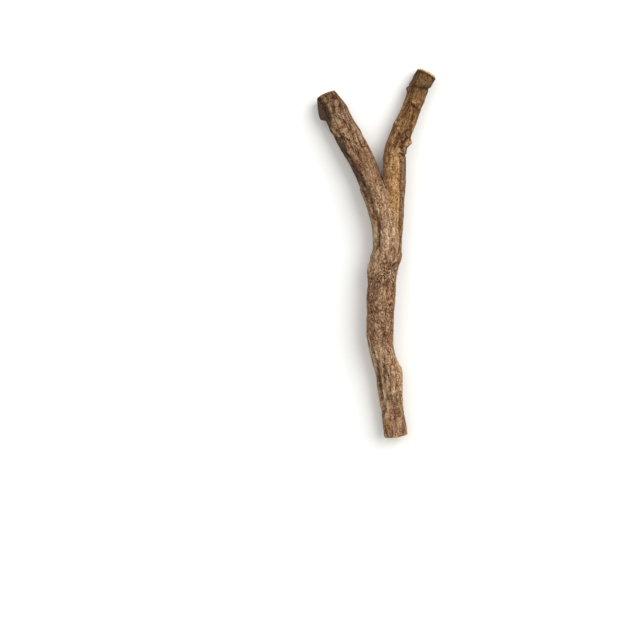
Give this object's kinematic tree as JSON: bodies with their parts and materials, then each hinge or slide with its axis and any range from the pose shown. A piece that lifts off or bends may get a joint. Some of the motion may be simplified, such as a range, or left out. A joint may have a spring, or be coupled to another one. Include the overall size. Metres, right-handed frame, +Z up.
{
  "type": "licorice root",
  "caption": "Dried licorice root: a woody trunk that forks into a thicker and a thinner branch, with furrowed brown bark, joints and knots, and blunt cut ends.",
  "frame": {"origin": "under the middle of the root's box, on the surface that it rests on", "axes": "+Y along the root from the cut foot to the branch tips, +Z up from the surface, +X to the right seen from above with the tips away from the viewer"},
  "size_m": [0.0594, 0.185, 0.0163],
  "materials": {
    "bark": "rough, dry and matte, with fine furrows",
    "cut_wood": "matte, fibrous, pale yellow"
  },
  "bodies": {
    "root": {"licorice_root": "bark"}
  },
  "joints": []
}
